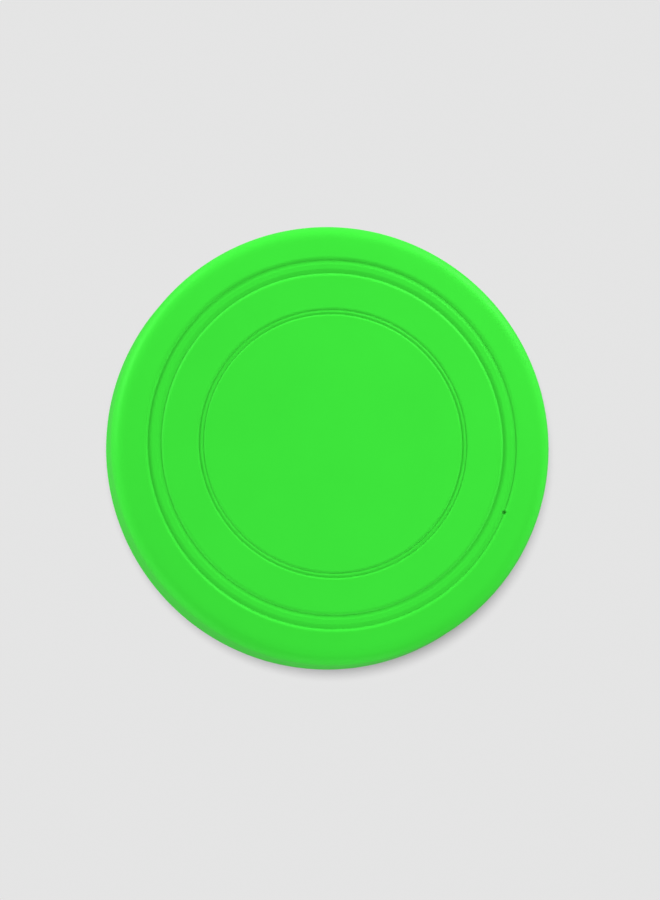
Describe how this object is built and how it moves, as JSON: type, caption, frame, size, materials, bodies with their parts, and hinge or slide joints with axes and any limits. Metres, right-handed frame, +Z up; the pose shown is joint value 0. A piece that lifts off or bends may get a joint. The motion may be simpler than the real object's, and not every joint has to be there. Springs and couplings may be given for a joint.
{
  "type": "flying disc",
  "caption": "Soft silicone flying disc, closed in the middle, with a rounded shoulder, an upright rim and two rings on its flat top, each a pair of V-shaped grooves.",
  "frame": {"origin": "under the disc's centre, on the plane that its lip rests on", "axes": "+Z up along the disc's axis, out of the plate's top; the gate mark lies 21.5 degrees clockwise from +X, seen from above"},
  "size_m": [0.18, 0.18, 0.026],
  "materials": {
    "green_silicone": "soft matte moulded silicone, saturated bright green right through"
  },
  "bodies": {
    "root": {"disc": "green_silicone"}
  },
  "joints": []
}
